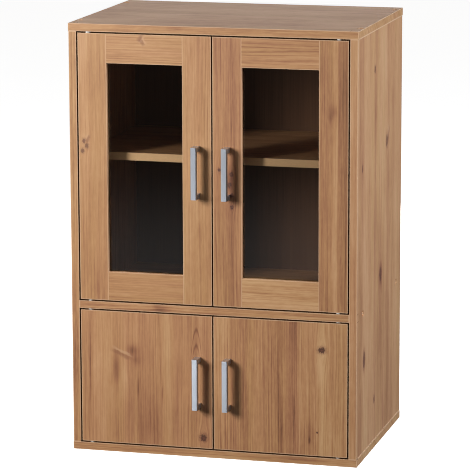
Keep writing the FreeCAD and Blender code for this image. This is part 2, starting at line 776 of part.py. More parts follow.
def make_handle(door, sign, low, high):
    """Square bow handle: a bar with rounded front edges and a leg at each end."""
    body = doc.addObject("PartDesign::Body", unused_name("Handle"))
    half = "handle_length / 2"
    inner_half = "(handle_length / 2 - handle_leg)"
    bar_back = "(handle_bar - handle_reach)"
    side_view = (
        (0, f"-{half}"),
        ("-handle_reach", f"-{half}"),
        ("-handle_reach", half),
        (0, half),
        (0, inner_half),
        (bar_back, inner_half),
        (bar_back, f"-{inner_half}"),
        (0, f"-{inner_half}"),
    )
    sketch = outline(body, "YZ_Plane", side_view)
    pad = body.newObject("PartDesign::Pad", unused_name("Handle_pad"))
    pad.Profile = sketch
    pad.SideType = "Symmetric"
    bind(pad, Length="handle_width")
    doc.recompute()
    fillet = body.newObject("PartDesign::Fillet", unused_name("Handle_rounding"))
    fillet.Base = (pad, front_edges(pad.Shape))
    bind(fillet, Radius="handle_rounding")
    body.Tip = fillet
    centre = f"(({low} + {high}) / 2)"
    place(body, (on_side(sign, HANDLE_X), FRONT, centre))
    tools = []
    for height in handle_heights(low, high):
        start = (on_side(sign, HANDLE_X), FRONT, height)
        depth = "handle_screw_in_leg + fit_play"
        tools.append(bore("handle_screw_radius + fit_play", depth, start, "-Y"))
    node(f"{door}_handle", cut(body, tools))


def front_edges(shape):
    """Names of the upright edges along the front face of a handle's bar."""
    front = shape.BoundBox.YMin
    names = []
    for index, edge in enumerate(shape.Edges, start=1):
        limits = edge.BoundBox
        on_front = abs(limits.YMax - front) < 1e-6
        if on_front and limits.ZLength > shape.BoundBox.ZLength / 2:
            names.append(f"Edge{index}")
    return names


def make_handle_screws(door, sign, low, high):
    reach = "(board + handle_screw_in_leg)"
    profile = (
        (0, "-handle_screw_head_height"),
        ("handle_screw_head_radius - handle_screw_head_chamfer", "-handle_screw_head_height"),
        ("handle_screw_head_radius", "handle_screw_head_chamfer - handle_screw_head_height"),
        ("handle_screw_head_radius", 0),
        ("handle_screw_radius", 0),
        ("handle_screw_radius", reach),
        (0, reach),
    )
    screws = []
    for height in handle_heights(low, high):
        start = (on_side(sign, HANDLE_X), DOOR_BACK, height)
        screws.append(turned("Handle_screw", profile, start, "-Y"))
    node(f"{door}_handle_screws", group(f"{door}_handle_screws", screws))


def make_strike(door, sign, high):
    """Steel plate that meets the magnet, with its countersunk screw."""
    centre = strike_centre(sign, high)
    low = (
        f"({centre[0]} - strike_width / 2)",
        centre[1],
        f"({centre[2]} - strike_height / 2)",
    )
    blank = box("Strike", low, ("strike_width", "strike_thickness", "strike_height"))
    sink = doc.addObject("Part::Cone", unused_name("Countersink"))
    bind(
        sink,
        Radius1="small_screw_radius + fit_play",
        Radius2="small_head_radius + fit_play",
        Height="strike_thickness",
    )
    place(sink, centre, "+Y")
    node(f"{door}_strike_plate", cut(blank, [sink]))
    profile = (
        (0, "-strike_thickness"),
        ("small_head_radius", "-strike_thickness"),
        ("small_screw_radius", 0),
        ("small_screw_radius", "strike_screw_in_door - small_screw_radius"),
        (0, "strike_screw_in_door"),
    )
    node(f"{door}_strike_screw", turned("Strike_screw", profile, centre, "-Y"))


def make_door(door, sign, low, high, glazed):
    if glazed:
        make_glazed_frame(door, sign, low, high)
    else:
        make_solid_panel(door, sign, low, high)
    make_handle(door, sign, low, high)
    make_handle_screws(door, sign, low, high)
    make_pivot_pins(door, sign, low, high)
    make_strike(door, sign, high)


def check_model():
    """Stop if any object of the document failed or any sub-part is not a sound solid."""
    for item in doc.Objects:
        if "Invalid" in item.State or "Error" in item.State:
            raise RuntimeError(f"{item.Name} failed to recompute")
    for item in nodes:
        shape = item.Shape
        if shape.isNull() or not shape.isValid() or not shape.Solids:
            raise RuntimeError(f"{item.Label} has no sound solid")
        if any(solid.Volume <= 0 for solid in shape.Solids):
            raise RuntimeError(f"{item.Label} has an empty solid")


def export_nodes():
    os.makedirs("parts", exist_ok=True)
    for item in nodes:
        item.Shape.exportStep(f"parts/{item.Label}.step")


make_top_board()
make_bottom_board()
for side_name, side_sign in SIDES:
    make_side_board(side_name, side_sign)
make_middle_board()
make_shelf()
make_back_panel()
make_carcass_screws()
make_carcass_dowels()
make_shelf_pins()
make_pivot_bushes()
all_catch_screws = make_catch("upper", TOP_UNDERSIDE) + make_catch("lower", "middle_underside")
node("catch_screws", group("catch_screws", all_catch_screws))

for side_name, side_sign in SIDES:
    make_door(f"upper_{side_name}", side_sign, *UPPER_DOOR, glazed=True)
    make_door(f"lower_{side_name}", side_sign, *LOWER_DOOR, glazed=False)

doc.recompute()
check_model()
export_nodes()
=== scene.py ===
"""The pantry cabinet's looks: pine print, glass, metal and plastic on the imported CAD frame."""
import math
from collections import namedtuple

import bmesh
import bpy
from mathutils import Matrix, Vector


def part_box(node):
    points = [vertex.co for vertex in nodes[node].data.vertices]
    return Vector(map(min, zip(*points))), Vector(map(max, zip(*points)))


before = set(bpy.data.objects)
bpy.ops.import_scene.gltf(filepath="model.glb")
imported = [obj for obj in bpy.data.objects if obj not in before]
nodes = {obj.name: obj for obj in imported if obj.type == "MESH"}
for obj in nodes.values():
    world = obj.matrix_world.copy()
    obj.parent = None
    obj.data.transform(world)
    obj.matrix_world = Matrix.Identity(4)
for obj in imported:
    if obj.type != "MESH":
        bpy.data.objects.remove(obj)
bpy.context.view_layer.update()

MM = 0.001


# ---------------------------------------------------------------- node trees

class Tree:
    """A material's node tree, with one short call for each kind of node."""

    def __init__(self, name):
        self.material = bpy.data.materials.new(name)
        self.material.use_nodes = True
        self.nodes = self.material.node_tree.nodes
        self.links = self.material.node_tree.links
        self.nodes.clear()
        self.output = self.nodes.new("ShaderNodeOutputMaterial")
        coordinates = self.nodes.new("ShaderNodeTexCoord")
        self.place = coordinates.outputs["Object"]
        split = self.nodes.new("ShaderNodeSeparateXYZ")
        self.links.new(self.place, split.inputs[0])
        self.axis = dict(zip("XYZ", split.outputs))

    def feed(self, socket, value):
        """Links a socket into another, or sets it to a constant."""
        if isinstance(value, bpy.types.NodeSocket):
            self.links.new(value, socket)
        elif value is not None:
            socket.default_value = value

    def math(self, operation, first, second=None):
        node = self.nodes.new("ShaderNodeMath")
        node.operation = operation
        for socket, value in zip(node.inputs, (first, second)):
            self.feed(socket, value)
        return node.outputs[0]

    def add(self, first, *others):
        total = first
        for other in others:
            total = self.math("ADD", total, other)
        return total

    def times(self, first, second):
        return self.math("MULTIPLY", first, second)

    def minus(self, first, second):
        return self.math("SUBTRACT", first, second)

    def size(self, value):
        """The value without its sign."""
        return self.math("ABSOLUTE", value)

    def squares(self, first, second):
        """The sum of two squares."""
        return self.add(self.times(first, first), self.times(second, second))

    def vector(self, x=0.0, y=0.0, z=0.0):
        node = self.nodes.new("ShaderNodeCombineXYZ")
        for socket, value in zip(node.inputs, (x, y, z)):
            self.feed(socket, value)
        return node.outputs[0]

    def grey(self, shade):
        return self.vector(shade, shade, shade)

    def noise(self, vector, scale=1.0, detail=1.0, roughness=0.5):
        """Smooth noise from 0 to 1, about 0.5."""
        node = self.nodes.new("ShaderNodeTexNoise")
        self.feed(node.inputs["Vector"], vector)
        node.inputs["Scale"].default_value = scale
        node.inputs["Detail"].default_value = detail
        node.inputs["Roughness"].default_value = roughness
        return node.outputs[0]

    def stretched(self, places, scales, seed=None, detail=1):
        """Noise with a scale of its own for each place; two places leave room for a seed."""
        scaled = [self.times(place, scale) for place, scale in zip(places, scales)]
        if seed is not None:
            scaled.append(seed)
        return self.noise(self.vector(*scaled), detail=detail)

    def smooth(self, value, low, high, start=0.0, end=1.0):
        """Eases from start to end as value goes from low to high."""
        node = self.nodes.new("ShaderNodeMapRange")
        node.interpolation_type = "SMOOTHSTEP"
        for socket, entry in zip(node.inputs, (value, low, high, start, end)):
            self.feed(socket, entry)
        return node.outputs[0]

    def blend(self, first, second, share):
        """Two values added up, the first one's share and the rest of the second."""
        return self.add(self.times(first, share), self.times(second, 1 - share))

    def roughness(self, noise, low, high):
        """A roughness that goes from low to high with the noise."""
        return self.smooth(noise, NOISE_LOW, NOISE_HIGH, low, high)

    def ramp(self, value, stops):
        """A colour from (position, colour) stops; a bare number is a grey."""
        node = self.nodes.new("ShaderNodeValToRGB")
        elements = node.color_ramp.elements
        while len(elements) < len(stops):
            elements.new(0.5)
        for element, (position, colour) in zip(elements, stops):
            element.position = position
            grey = isinstance(colour, (int, float))
            element.color = (colour,) * 3 + (1,) if grey else (*colour, 1)
        self.feed(node.inputs[0], value)
        return node.outputs[0]

    def mix(self, factor, first, second, blend="MIX"):
        """Two colours mixed, or blended in another way."""
        node = self.nodes.new("ShaderNodeMix")
        node.data_type = "RGBA"
        node.blend_type = blend
        self.feed(node.inputs["Factor"], factor)
        for socket, value in zip(node.inputs[6:8], (first, second)):
            self.feed(socket, (*value, 1) if isinstance(value, tuple) else value)
        return node.outputs[2]

    def tint(self, first, second):
        """Two colours multiplied."""
        return self.mix(1.0, first, second, blend="MULTIPLY")

    def bump(self, height, strength, distance):
        node = self.nodes.new("ShaderNodeBump")
        node.inputs["Strength"].default_value = strength
        node.inputs["Distance"].default_value = distance
        self.feed(node.inputs["Height"], height)
        return node.outputs[0]

    def principled(self, **inputs):
        """The surface shader; each input is named as on the node, with _ for a space."""
        shader = self.nodes.new("ShaderNodeBsdfPrincipled")
        for name, value in inputs.items():
            if isinstance(value, tuple):
                value = (*value, 1)
            self.feed(shader.inputs[name.replace("_", " ")], value)
        self.links.new(shader.outputs[0], self.output.inputs[0])
        return self.material


# ---------------------------------------------------------------- pine print

DEEP = (0.170, 0.066, 0.030)
RUSSET = (0.372, 0.166, 0.075)
TAN = (0.525, 0.274, 0.119)
PALE = (0.660, 0.398, 0.198)
PRINT_TONES = ((0.0, DEEP), (0.34, RUSSET), (0.64, TAN), (1.0, PALE))
OLIVE = (0.980, 1.008, 0.945)
ROSE = (1.020, 0.985, 1.070)
KNOT = (0.070, 0.028, 0.020)
KNOT_RIM = (0.230, 0.082, 0.050)
SPIKE_PALE = (0.640, 0.380, 0.215)
# Painted light: a paler colour on the shelf's front edge, standing in for light that the glass and the
# shadows keep off it.
FRONT_EDGE_PAINTED_LIGHT = (0.980, 0.610, 0.300)
# Painted highlight: the pale colour of the thin lines along the boards' edges.
EDGE_PAINTED_HIGHLIGHT = (0.740, 0.480, 0.290)
# Painted shade: the dark colour put on the narrow faces that look into the gaps round the doors.
GAP_PAINTED_SHADE = (0.110, 0.044, 0.023)

# The layers of noise in the print, stretched along the grain. The scales are per metre.
Layer = namedtuple("Layer", "across along seed detail")
WANDER = Layer(6.0, 1.3, 0.0, 1)
WAVER = Layer(60.0, 12.0, 4.4, 1)
BANDS = Layer(24.0, 0.7, 3.1, 2)
PATCHES = Layer(14.0, 6.0, 5.7, 3)
JITTER = Layer(75.0, 1.8, 8.2, 1)
SHOWING = Layer(17.0, 2.2, 11.9, 2)
FINE = Layer(330.0, 8.0, 1.3, 2)
FLECKS = Layer(260.0, 60.0, 6.4, 2)
HAIRS = Layer(1500.0, 30.0, 2.6, 1)
HUE = Layer(34.0, 1.6, 17.3, 2)
RAGGED = Layer(330.0, 190.0, 0.7, 3)
SPIKE_WOBBLE = Layer(70.0, 70.0, 0.0, 3)

# How far the lines of the grain stray, and how much each layer shifts the tone or the hue.
WANDER_REACH = 9 * MM
WAVER_REACH = 1.6 * MM
MIDDLE_TONE = 0.62
BAND_TONE = 1.25
PATCH_TONE = 0.42
FLECK_TONE = 0.45
HAIR_TONE = 0.25
RING_TONE = 0.46
ARCH_TONE = 0.7
HUE_SWING = 1.8

RING_PITCH = 7.6 * MM
RING_JITTER = 2.6
RING_SHARPNESS = 4.0
RING_FAINTEST = 0.35
RING_SHOWING_FROM = -0.12
RING_SHOWING_TO = 0.12
ARCH_TURNS = 1.7
ARCH_RIM = 0.05
ARCH_FADE_FROM = 0.8
ARCH_FADE_TO = 1.4

# How the grain flows round a knot, and the knot's own zones: each fades in from its outer to its
# inner distance, in knot radii.
FLOW_CORE = 0.5
FLOW_PUSH = 1.2
FLOW_TALL = 0.36
KNOT_RAGGEDNESS = 1.8
Zone = namedtuple("Zone", "outer inner strength")
KNOT_HALO = Zone(2.3, 0.7, 0.55)
KNOT_RING = Zone(1.25, 0.75, 0.85)
KNOT_HEART = Zone(0.55, 0.2, 0.5)

# A spike's wobble, the fading of its ends and sides, and the dark grain beside it. The lengths
# are in half lengths or half widths of the spike.
SPIKE_SWAY = 3.0
SPIKE_FULL_LENGTH = 0.3
SPIKE_FULL_WIDTH = 0.2
SPIKE_BESIDE = 1.7
SPIKE_BESIDE_WIDTH = 1.8
SPIKE_DARKNESS = 0.5
SPIKE_PALENESS = 0.6

# The pale line of painted highlight along an edge is this wide, and at its full strength over a share
# of that. A point counts as on a face when it is less than the skin's thickness away from it.
EDGE_HIGHLIGHT_WIDTH = 1.7 * MM
EDGE_HIGHLIGHT_FULL = 0.6
SKIN = 0.4 * MM
# How strongly the painted shade covers the faces in the gaps.
GAP_PAINTED_SHADE_STRENGTH = 0.85

SHINE = 0.5
PINE_IOR = 1.46
ROUGH_WHERE_DARK = 0.52
ROUGH_WHERE_PALE = 0.42
FINE_RELIEF = 0.6
HAIR_RELIEF = 0.4

# Marks on a board, in metres across and along its grain. Each is given by its centre, but an
# arch by its tip. Widths and lengths are halves, a spike's tilt is in degrees, tall is a knot's
# height over its width, and shift is a change of tone.
Knot = namedtuple("Knot", "across along radius tall")
Stain = namedtuple("Stain", "across along width length shift")
Spike = namedtuple("Spike", "across along length width tilt")
Arch = namedtuple("Arch", "across tip width length")

# A board's look: the names of its axes, the depth of its show face, its seed, and what is special
# about its print. tone makes the print lighter and rose makes it pinker. bands and lines say how
# strongly the broad bands and the ring lines show, grit how strongly the fine grain does, edge how
# pale the painted highlight lines on the edges are, knotty how dark the knots are, and
# banding how pale the painted light on the front edge is. strips are (place across,
# shift of tone) stops.
PLAIN_LOOK = dict(
    tone=0.0, rose=0.0, banding=0.0, bands=0.8, lines=0.5, grit=0.8, edge=0.7, knotty=1.0,
    strips=(), stains=(), knots=(), spikes=(), arch=None,
)
Look = namedtuple(
    "Look",
    ("grain", "across", "depth", "face", "seed", *PLAIN_LOOK),
    defaults=PLAIN_LOOK.values(),
)


class Pine(Tree):
    """A pine board's node tree, which knows where a point lies in the grain.

    along is the place along the grain, across the place straight across it, line the place across
    it counted by the grain's own bent lines, and reach the distance to the nearest knot. fine and
    hairs are its two finest layers.
    """

    def __init__(self, node, look):
        super().__init__(f"pine_{node}")
        self.look = look
        self.low, self.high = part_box(node)
        self.along = self.axis[look.grain]
        self.across = self.add(self.axis[look.across], self.minus(self.axis[look.depth], look.face))
        wander = self.times(self.layer(WANDER, self.across), WANDER_REACH)
        waver = self.times(self.layer(WAVER, self.across), WAVER_REACH)
        bent, self.reach = self.flow_round()
        self.line = self.add(bent, wander, waver)
        self.fine = self.layer(FINE)
        self.hairs = self.layer(HAIRS)

    def layer(self, layer, across=None, shift=0.0):
        """One layer of noise, from -0.5 to 0.5, on the grain's own lines unless told otherwise."""
        places = (self.line if across is None else across, self.along)
        scales = (layer.across, layer.along)
        seed = self.look.seed + layer.seed + shift
        return self.minus(self.stretched(places, scales, seed, layer.detail), 0.5)

    def flow_round(self):
        """Bends the lines of the grain round each knot, and gives the distance to the nearest one.

        The distance is in knot radii. It is ragged, as the edge of a real knot is.
        """
        bent = self.across
        nearest = None
        ragged = self.times(self.layer(RAGGED, self.across), KNOT_RAGGEDNESS)
        for knot in self.look.knots:
            side = self.minus(self.across, knot.across)
            rise = self.minus(self.along, knot.along)
            spread = self.squares(side, self.times(rise, FLOW_TALL))
            spread = self.add(spread, (FLOW_CORE * knot.radius) ** 2)
            push = self.math("DIVIDE", self.times(side, FLOW_PUSH * knot.radius ** 2), spread)
            bent = self.minus(bent, push)
            reach = self.math("SQRT", self.squares(side, self.times(rise, 1 / knot.tall)))
            reach = self.add(self.times(reach, 1 / knot.radius), ragged)
            nearest = reach if nearest is None else self.math("MINIMUM", nearest, reach)
        return bent, nearest

    def ring_lines(self, turns):
        """Narrow dark lines, one for each whole turn."""
        wave = self.math("SINE", self.times(turns, 2 * math.pi))
        return self.math("POWER", self.add(self.times(wave, 0.5), 0.5), RING_SHARPNESS)

    def arch_lines(self, arch):
        """Rings that close in pointed arches one inside the other, and a mask of where they are.

        They open downwards from the tip.
        """
        side = self.times(self.minus(self.line, arch.across), 1 / arch.width)
        drop = self.times(self.minus(arch.tip, self.along), 1 / arch.length)
        inside = self.minus(drop, self.times(side, side))
        within = self.smooth(inside, -ARCH_RIM, ARCH_RIM)
        mask = self.times(within, self.smooth(drop, ARCH_FADE_TO, ARCH_FADE_FROM))
        return self.ring_lines(self.times(inside, ARCH_TURNS)), mask

    def rings(self):
        """The year rings: how dark their lines are."""
        lines = self.look.lines
        jitter = self.times(self.layer(JITTER), RING_JITTER)
        turns = self.add(self.times(self.line, 1 / RING_PITCH), jitter)
        faintest = RING_FAINTEST * lines
        patches = self.layer(SHOWING)
        showing = self.smooth(patches, RING_SHOWING_FROM, RING_SHOWING_TO, faintest, lines)
        rings = self.times(self.ring_lines(turns), showing)
        if self.look.arch:
            closed, here = self.arch_lines(self.look.arch)
            rings = self.times(rings, self.minus(1.0, here))
            rings = self.add(rings, self.times(self.times(closed, here), ARCH_TONE))
        return rings

    def stain(self, stain):
        """A soft oval blot: its shift of tone."""
        side = self.times(self.minus(self.across, stain.across), 1 / stain.width)
        rise = self.times(self.minus(self.along, stain.along), 1 / stain.length)
        blot = self.math("EXPONENT", self.times(self.squares(side, rise), -1.0))
        return self.times(blot, stain.shift)

    def strips(self):
        """Lengthwise strips: their shift of tone, which changes steadily from stop to stop."""
        number = "XYZ".index(self.look.across)
        begin, width = self.low[number], self.high[number] - self.low[number]
        where = self.times(self.minus(self.line, begin), 1 / width)
        stops = [((place - begin) / width, 0.5 + shift) for place, shift in self.look.strips]
        return self.minus(self.ramp(where, stops), 0.5)

    def value(self):
        """How light the print is, from the deepest brown at 0 to the palest at 1."""
        look = self.look
        value = self.add(
            MIDDLE_TONE + look.tone,
            self.times(self.layer(BANDS), BAND_TONE * look.bands),
            self.times(self.layer(PATCHES), PATCH_TONE),
            self.times(self.fine, look.grit),
            self.times(self.layer(FLECKS), FLECK_TONE * look.grit),
            self.times(self.hairs, HAIR_TONE),
        )
        value = self.minus(value, self.times(self.rings(), RING_TONE))
        for stain in look.stains:
            value = self.add(value, self.stain(stain))
        return self.add(value, self.strips()) if look.strips else value

    def spike(self, spike, number):
        """A branch cut lengthwise: masks of its pale middle and of the dark grain on one side."""
        tilt = math.radians(spike.tilt)
        dx = self.minus(self.across, spike.across)
        dz = self.minus(self.along, spike.along)
        run = self.add(self.times(dx, math.cos(tilt)), self.times(dz, math.sin(tilt)))
        off = self.minus(self.times(dz, math.cos(tilt)), self.times(dx, math.sin(tilt)))
        wobble = self.layer(SPIKE_WOBBLE, self.across, shift=number)
        off = self.add(off, self.times(wobble, SPIKE_SWAY * spike.width))
        full = SPIKE_FULL_WIDTH * spike.width
        ends = self.smooth(self.size(run), spike.length, SPIKE_FULL_LENGTH * spike.length)
        pale = self.times(self.smooth(self.size(off), spike.width, full), ends)
        beside = self.size(self.add(off, SPIKE_BESIDE * spike.width))
        dark = self.times(self.smooth(beside, SPIKE_BESIDE_WIDTH * spike.width, full), ends)
        return pale, dark

    def paint_spikes(self, colour):
        """Paints each spike's dark grain and its pale middle."""
        for number, spike in enumerate(self.look.spikes):
            pale, dark = self.spike(spike, number)
            colour = self.mix(self.times(dark, SPIKE_DARKNESS), colour, KNOT_RIM)
            colour = self.mix(self.times(pale, SPIKE_PALENESS), colour, SPIKE_PALE)
        return colour

    def zone(self, zone, strength=1.0):
        """Mask of one zone round the knots."""
        mask = self.smooth(self.reach, zone.outer, zone.inner)
        return self.times(mask, zone.strength * strength)

    def paint_knots(self, colour):
        """Paints each knot's halo, its dark ring and its lighter heart."""
        colour = self.mix(self.zone(KNOT_HALO, self.look.knotty), colour, KNOT_RIM)
        colour = self.mix(self.zone(KNOT_RING, self.look.knotty), colour, KNOT)
        return self.mix(self.zone(KNOT_HEART), colour, KNOT_RIM)

    def print_colour(self, value):
        """The print's colour, with painted light on the front edge, the spikes and the knots."""
        look = self.look
        hue = self.add(0.5 + look.rose, self.times(self.layer(HUE), HUE_SWING))
        colour = self.tint(self.ramp(value, PRINT_TONES), self.mix(hue, OLIVE, ROSE))
        # The front edge is painted paler, as painted light.
        if look.banding:
            at_front = self.math("LESS_THAN", self.axis["Y"], self.low.y + SKIN)
            colour = self.mix(self.times(at_front, look.banding), colour, FRONT_EDGE_PAINTED_LIGHT)
        colour = self.paint_spikes(colour)
        return self.paint_knots(colour) if look.knots else colour

    def edge_distance(self, low, high):
        """How far a point on the board's surface is from the nearest edge of the face it lies on.

        Of a point's depths inside the three pairs of faces, the smallest is nought, because the
        point lies on that face, and the middle one is its distance from that face's nearest edge.
        """
        depths = []
        for number, axis in enumerate("XYZ"):
            middle = (low[number] + high[number]) / 2
            half = (high[number] - low[number]) / 2
            depths.append(self.minus(half, self.size(self.minus(self.axis[axis], middle))))
        least = self.math("MINIMUM", depths[0], depths[1])
        most = self.math("MAXIMUM", depths[0], depths[1])
        return self.math("MAXIMUM", least, self.math("MINIMUM", most, depths[2]))

    def facing_gap(self, boxes):
        """Mask of the narrow faces that look into the gaps round the doors, which get painted shade.

        The boxes are the doors' own, or those of the openings that the doors close.
        """
        near = 0.0
        for box in boxes:
            for end in box:
                for axis, place in (("X", end.x), ("Z", end.z)):
                    off = self.size(self.minus(self.axis[axis], place))
                    near = self.math("MAXIMUM", self.math("LESS_THAN", off, SKIN), near)
        front, back = boxes[0]
        behind = self.math("GREATER_THAN", self.axis["Y"], front.y + SKIN)
        before = self.math("LESS_THAN", self.axis["Y"], back.y - SKIN)
        return self.times(near, self.times(behind, before))


def pine(node, look, gaps, span):
    """Knotty pine print for one board.

    The faces on the sides of the gaps' boxes get painted shade, and the edges of the span's box get
    pale lines of painted highlight.
    """
    tree = Pine(node, look)
    value = tree.value()
    gap_shade_mask = tree.facing_gap(gaps)
    edge = tree.edge_distance(*span)
    # Pale lines of painted highlight along the edges of each face, kept off the faces in the gaps.
    line = tree.smooth(edge, EDGE_HIGHLIGHT_WIDTH, EDGE_HIGHLIGHT_FULL * EDGE_HIGHLIGHT_WIDTH, 0.0, look.edge)
    line = tree.times(line, tree.minus(1.0, gap_shade_mask))
    colour = tree.print_colour(value)
    # Painted shade on the faces in the gaps.
    colour = tree.mix(tree.times(gap_shade_mask, GAP_PAINTED_SHADE_STRENGTH), colour, GAP_PAINTED_SHADE)
    relief = tree.add(tree.times(tree.fine, FINE_RELIEF), tree.times(tree.hairs, HAIR_RELIEF))
    return tree.principled(
        Base_Color=tree.mix(line, colour, EDGE_PAINTED_HIGHLIGHT),
        Roughness=tree.smooth(value, 0.0, 1.0, ROUGH_WHERE_DARK, ROUGH_WHERE_PALE),
        # No gloss on the faces with the painted shade.
        Specular_IOR_Level=tree.minus(SHINE, tree.times(gap_shade_mask, SHINE)),
        IOR=PINE_IOR,
        Normal=tree.bump(relief, strength=0.25, distance=0.12 * MM),
    )


# ---------------------------------------------------------------- other materials

# Each plastic's colour and roughness, and each metal's, with the axis that it is brushed along.
PLASTICS = {
    "white_plastic": ((0.92, 0.90, 0.86), 0.42),
    "tan_plastic": ((0.94, 0.62, 0.35), 0.50),
    "brown_plastic": ((0.055, 0.030, 0.020), 0.40),
    "magnet": ((0.040, 0.040, 0.043), 0.50),
}
METALS = {
    "zinc_steel": ((0.62, 0.62, 0.60), 0.44, "Y"),
    "handle_metal": ((0.70, 0.75, 0.83), 0.50, "Z"),
}
PLASTIC_MOTTLE = 0.05
PLASTIC_SWING = 0.06
METAL_MOTTLE = 0.10
METAL_SWING = 0.07
BRUSHED_ALONG = 30.0
BRUSHED_ACROSS = 2600.0
NOISE_LOW = 0.2
NOISE_HIGH = 0.8

BEECH_SCALES = (400, 400, 30)
BEECH_RING_SHARE = 0.7
BEECH_TONES = ((0.3, (0.50, 0.31, 0.15)), (0.7, (0.68, 0.47, 0.27)))
# The inside of the back is painted very dark: its own darker print together with painted shade for the
# dim inside of the cabinet.
BACK_PRINT_AND_PAINTED_SHADE_TONES = ((0.1, (0.060, 0.025, 0.011)), (0.7, (0.135, 0.062, 0.030)))
BACK_PLAIN_TONES = ((0.35, (0.19, 0.115, 0.065)), (0.65, (0.36, 0.235, 0.145)))
BACK_BANDS = Layer(22, 0.6, 4.0, 2)
BACK_STREAKS = Layer(420, 5, 9.0, 2)
BACK_BAND_SHARE = 0.6
BACK_FIBRE_SHARE = 0.85
BACK_SHINE = 0.2
# The painted shadow band down the middle begins and ends softly, between these places in X.
PAINTED_SHADOW_BEGINS = (-0.10, -0.05)
PAINTED_SHADOW_ENDS = (0.03, 0.09)
PAINTED_SHADOW_TONE = 0.22

GLASS_CLEAR = (0.985, 0.990, 0.988, 1)
GLASS_SHINE = (1, 1, 1, 1)
GLASS_ROUGHNESS = 0.03
GLASS_IOR = 1.5


def plastic(name, colour, rough):
    """Moulded plastic, a little mottled."""
    tree = Tree(name)
    grain = tree.noise(tree.place, scale=900, detail=3)
    cloud = tree.noise(tree.place, scale=60, detail=2)
    mottled = (tree.times(grain, PLASTIC_MOTTLE), tree.times(cloud, PLASTIC_MOTTLE))
    return tree.principled(
        Base_Color=tree.tint(colour, tree.grey(tree.add(*mottled, 1 - PLASTIC_MOTTLE))),
        Roughness=tree.roughness(grain, rough - PLASTIC_SWING, rough + PLASTIC_SWING),
        Normal=tree.bump(grain, strength=0.2, distance=0.05 * MM),
    )


def metal(name, colour, rough, brushed):
    """Metal with fine lines along the brushed axis."""
    tree = Tree(name)
    scales = [BRUSHED_ALONG if axis == brushed else BRUSHED_ACROSS for axis in "XYZ"]
    lines = tree.stretched([tree.axis[axis] for axis in "XYZ"], scales, detail=2)
    cloud = tree.noise(tree.place, scale=45, detail=2)
    mottled = (tree.times(lines, METAL_MOTTLE), tree.times(cloud, METAL_MOTTLE))
    return tree.principled(
        Base_Color=tree.tint(colour, tree.grey(tree.add(*mottled, 1 - METAL_MOTTLE))),
        Metallic=1.0,
        Roughness=tree.roughness(lines, rough - METAL_SWING, rough + METAL_SWING),
        Normal=tree.bump(lines, strength=0.12, distance=0.03 * MM),
    )


def beech(name):
    """Turned beech with its grain upright."""
    tree = Tree(name)
    rings = tree.stretched([tree.axis[axis] for axis in "XYZ"], BEECH_SCALES, detail=2)
    flecks = tree.noise(tree.place, scale=1500, detail=2)
    return tree.principled(
        Base_Color=tree.ramp(tree.blend(rings, flecks, BEECH_RING_SHARE), BEECH_TONES),
        Roughness=0.55,
        Normal=tree.bump(rings, strength=0.2, distance=0.1 * MM),
    )


def glass(name):
    """Clear float glass: most light goes straight through, and a little is reflected."""
    tree = Tree(name)
    waves = tree.noise(tree.place, scale=9, detail=1)
    clear = tree.nodes.new("ShaderNodeBsdfTransparent")
    clear.inputs["Color"].default_value = GLASS_CLEAR
    gloss = tree.nodes.new("ShaderNodeBsdfGlossy")
    gloss.inputs["Color"].default_value = GLASS_SHINE
    gloss.inputs["Roughness"].default_value = GLASS_ROUGHNESS
    tree.links.new(tree.bump(waves, strength=0.05, distance=0.4 * MM), gloss.inputs["Normal"])
    fresnel = tree.nodes.new("ShaderNodeFresnel")
    fresnel.inputs["IOR"].default_value = GLASS_IOR
    join = tree.nodes.new("ShaderNodeMixShader")
    for socket, source in zip(join.inputs, (fresnel, clear, gloss)):
        tree.links.new(source.outputs[0], socket)
    tree.links.new(join.outputs[0], tree.output.inputs[0])
    return tree.material


def back_board(name):
    """Pine print inside, painted dark with painted shade and darkest in a painted shadow band down the
    middle, and plain board behind.
    """
    tree = Tree(name)
    x, z = tree.axis["X"], tree.axis["Z"]
    bands, streaks = (
        tree.stretched((x, z), (layer.across, layer.along), layer.seed, layer.detail)
        for layer in (BACK_BANDS, BACK_STREAKS)
    )
    # A painted shadow down the middle of the back's inside.
    painted_shadow = tree.minus(tree.smooth(x, *PAINTED_SHADOW_BEGINS), tree.smooth(x, *PAINTED_SHADOW_ENDS))
    value = tree.blend(bands, streaks, BACK_BAND_SHARE)
    value = tree.minus(value, tree.times(painted_shadow, PAINTED_SHADOW_TONE))
    fibres = tree.noise(tree.place, scale=700, detail=4, roughness=0.7)
    clouds = tree.noise(tree.place, scale=25, detail=3)
    pulp = tree.blend(fibres, clouds, BACK_FIBRE_SHARE)
    printed_and_shaded, plain = tree.ramp(value, BACK_PRINT_AND_PAINTED_SHADE_TONES), tree.ramp(pulp, BACK_PLAIN_TONES)
    middle = sum(end.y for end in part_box("back_panel")) / 2
    behind = tree.math("GREATER_THAN", tree.axis["Y"], middle)
    return tree.principled(
        Base_Color=tree.mix(behind, printed_and_shaded, plain),
        Roughness=tree.roughness(fibres, 0.6, 0.8),
        Specular_IOR_Level=BACK_SHINE,
        Normal=tree.bump(fibres, strength=0.3, distance=0.1 * MM),
    )


# ---------------------------------------------------------------- boards

SHARP_ANGLE = math.radians(60)
FLAT_ANGLE = math.radians(0.5)
WELD_REACH = 0.01 * MM
EDGE_RADIUS = 0.25 * MM
EDGE_SEGMENTS = 2

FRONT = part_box("top_board")[0].y

# The axes of each kind of board: its grain, the axis across the grain, and its thickness.
LEVEL = dict(grain="X", across="Y", depth="Z")
SIDE = dict(grain="Z", across="Y", depth="X")
UPRIGHT = dict(grain="Z", across="X", depth="Y", face=FRONT)
RAIL = dict(grain="X", across="Z", depth="Y", face=FRONT)

